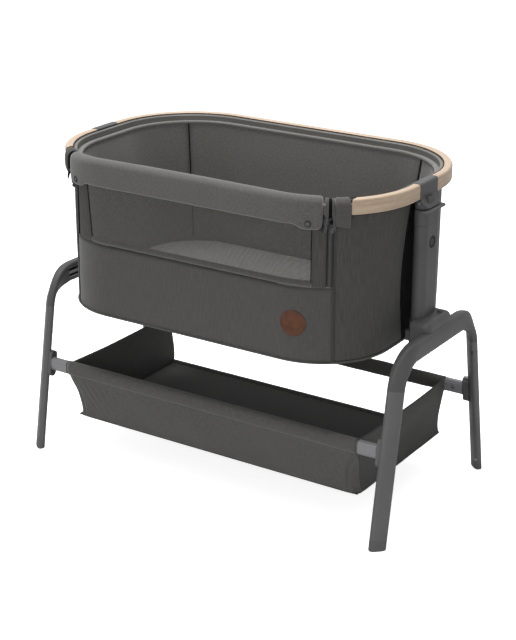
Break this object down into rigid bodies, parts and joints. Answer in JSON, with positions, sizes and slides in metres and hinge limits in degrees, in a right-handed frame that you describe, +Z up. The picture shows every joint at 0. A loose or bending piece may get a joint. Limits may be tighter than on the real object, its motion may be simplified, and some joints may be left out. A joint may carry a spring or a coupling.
{
  "type": "bassinet on stand",
  "caption": "Oval bedside cot on telescopic posts, with a fold-down mesh side and wooden rim, sliding on splayed side frames over a cloth storage basket.",
  "frame": {"origin": "on the floor, at the middle of the four feet", "axes": "+X along the cradle's length, -Y towards the side that folds down, +Z up"},
  "size_m": [0.925, 0.523, 0.724],
  "materials": {
    "grey_plastic": "fine satin mould texture",
    "grey_tube": "satin powder coat",
    "pin_plastic": "glossy",
    "foot_rubber": "matte",
    "rail_aluminium": "brushed",
    "steel": "plain",
    "smoked_lens": "polished",
    "pale_wood": "matt lacquer",
    "shell_cloth": "plain weave",
    "liner_cloth": "brushed knit",
    "mesh_cloth": "open mesh",
    "flap_cloth": "heathered, padded",
    "basket_cloth": "plain weave",
    "pad_cloth": "quilted cotton",
    "fibreboard": "bare",
    "black_zip": "woven tape and coil",
    "black_metal": "gloss enamel",
    "leather": "matt, stitched edge"
  },
  "bodies": {
    "stand": {"side_frame_right": "grey_plastic", "side_frame_left": "grey_plastic", "slide_rail_right": "rail_aluminium", "slide_rail_left": "rail_aluminium", "leg_tube_front_right": "grey_tube", "leg_tube_front_left": "grey_tube", "leg_tube_rear_right": "grey_tube", "leg_tube_rear_left": "grey_tube", "foot_caps": "foot_rubber", "rail_brackets": "grey_plastic", "stand_screws": "steel", "basket_rail_front": "grey_tube", "basket_rail_rear": "grey_tube", "basket_fabric": "basket_cloth", "basket_board": "fibreboard"},
    "carriage": {"carriage_right": "grey_plastic", "carriage_left": "grey_plastic", "column_right": "grey_plastic", "column_left": "grey_plastic", "carriage_covers": "grey_plastic", "height_windows": "smoked_lens"},
    "cradle": {"inner_tube_right": "grey_tube", "inner_tube_left": "grey_tube", "collar_right": "grey_plastic", "collar_left": "grey_plastic", "rim_bracket_right": "grey_plastic", "rim_bracket_left": "grey_plastic", "bracket_screws": "steel", "rim_frame": "grey_tube", "wood_trim_back": "pale_wood", "wood_trim_front_right": "pale_wood", "wood_trim_front_left": "pale_wood", "corner_sleeves": "shell_cloth", "shell_fabric": "shell_cloth", "liner_fabric": "liner_cloth", "base_board": "fibreboard", "zip_tapes": "black_zip", "leather_patch": "leather"},
    "drop_side": {"drop_rail": "grey_tube", "drop_panel": "mesh_cloth", "drop_flap": "flap_cloth", "press_studs": "black_metal"},
    "mattress": {"mattress": "pad_cloth"},
    "slide_button_right": {"slide_button_right": "grey_plastic"},
    "release_lever_right": {"release_lever_right": "grey_plastic"},
    "lock_pin_right": {"lock_pin_right": "steel"},
    "zip_slider_right": {"zip_slider_right": "black_metal"},
    "zip_pull_right": {"zip_pull_right": "black_metal"},
    "slide_button_left": {"slide_button_left": "grey_plastic"},
    "release_lever_left": {"release_lever_left": "grey_plastic"},
    "lock_pin_left": {"lock_pin_left": "steel"},
    "zip_slider_left": {"zip_slider_left": "black_metal"},
    "zip_pull_left": {"zip_pull_left": "black_metal"},
    "snap_pin_front_right": {"leg_snap_pin_front_right": "pin_plastic"},
    "snap_pin_front_left": {"leg_snap_pin_front_left": "pin_plastic"},
    "snap_pin_rear_right": {"leg_snap_pin_rear_right": "pin_plastic"},
    "snap_pin_rear_left": {"leg_snap_pin_rear_left": "pin_plastic"}
  },
  "joints": [
    {"name": "carriage_slide", "type": "slide", "parent": "stand", "child": "carriage", "axis": [0, 1, 0], "range_m": [-0.045, 0.045]},
    {"name": "height_slide", "type": "slide", "parent": "carriage", "child": "cradle", "axis": [0, 0, 1], "range_m": [0, 0.14]},
    {"name": "drop_side_fold", "type": "hinge", "parent": "cradle", "child": "drop_side", "pos_m": [0, -0.248, 0.535], "axis": [1, 0, 0], "range_deg": [0, 165]},
    {"name": "mattress_lift", "type": "slide", "parent": "cradle", "child": "mattress", "axis": [0, 0, 1], "range_m": [0, 0.06]},
    {"name": "slide_button_press_right", "type": "slide", "parent": "carriage", "child": "slide_button_right", "axis": [0, 0, -1], "range_m": [0, 0.003], "stiffness_N_per_m": 400, "springref_m": -0.003},
    {"name": "lever_squeeze_right", "type": "slide", "parent": "cradle", "child": "release_lever_right", "axis": [0, 0, 1], "range_m": [0, 0.002], "stiffness_N_per_m": 600, "springref_m": -0.003},
    {"name": "lock_pin_draw_right", "type": "slide", "parent": "cradle", "child": "lock_pin_right", "axis": [1, 0, 0], "range_m": [0, 0.004]},
    {"name": "zip_run_right", "type": "slide", "parent": "cradle", "child": "zip_slider_right", "axis": [0, -0.0092, -1], "range_m": [0, 0.1]},
    {"name": "pull_swing_right", "type": "hinge", "parent": "zip_slider_right", "child": "zip_pull_right", "pos_m": [0.32191, -0.21925, 0.666], "axis": [-0.8039, -0.5948, 0], "range_deg": [0, 50]},
    {"name": "slide_button_press_left", "type": "slide", "parent": "carriage", "child": "slide_button_left", "axis": [0, 0, -1], "range_m": [0, 0.003], "stiffness_N_per_m": 400, "springref_m": -0.003},
    {"name": "lever_squeeze_left", "type": "slide", "parent": "cradle", "child": "release_lever_left", "axis": [0, 0, 1], "range_m": [0, 0.002], "stiffness_N_per_m": 600, "springref_m": -0.003},
    {"name": "lock_pin_draw_left", "type": "slide", "parent": "cradle", "child": "lock_pin_left", "axis": [-1, 0, 0], "range_m": [0, 0.004]},
    {"name": "zip_run_left", "type": "slide", "parent": "cradle", "child": "zip_slider_left", "axis": [0, -0.0092, -1], "range_m": [0, 0.1]},
    {"name": "pull_swing_left", "type": "hinge", "parent": "zip_slider_left", "child": "zip_pull_left", "pos_m": [-0.32191, -0.21925, 0.666], "axis": [-0.8039, 0.5948, 0], "range_deg": [0, 50]},
    {"name": "snap_pin_press_front_right", "type": "slide", "parent": "stand", "child": "snap_pin_front_right", "axis": [0, -0.9844, 0.176], "range_m": [0, 0.002], "stiffness_N_per_m": 500, "springref_m": -0.002},
    {"name": "snap_pin_press_front_left", "type": "slide", "parent": "stand", "child": "snap_pin_front_left", "axis": [0, -0.9844, 0.176], "range_m": [0, 0.002], "stiffness_N_per_m": 500, "springref_m": -0.002},
    {"name": "snap_pin_press_rear_right", "type": "slide", "parent": "stand", "child": "snap_pin_rear_right", "axis": [0, 0.9844, 0.176], "range_m": [0, 0.002], "stiffness_N_per_m": 500, "springref_m": -0.002},
    {"name": "snap_pin_press_rear_left", "type": "slide", "parent": "stand", "child": "snap_pin_rear_left", "axis": [0, 0.9844, 0.176], "range_m": [0, 0.002], "stiffness_N_per_m": 500, "springref_m": -0.002}
  ],
  "couplings": [
    {"joint": "lock_pin_draw_right", "follows": "lever_squeeze_right", "ratio": 2},
    {"joint": "lock_pin_draw_left", "follows": "lever_squeeze_left", "ratio": 2}
  ]
}
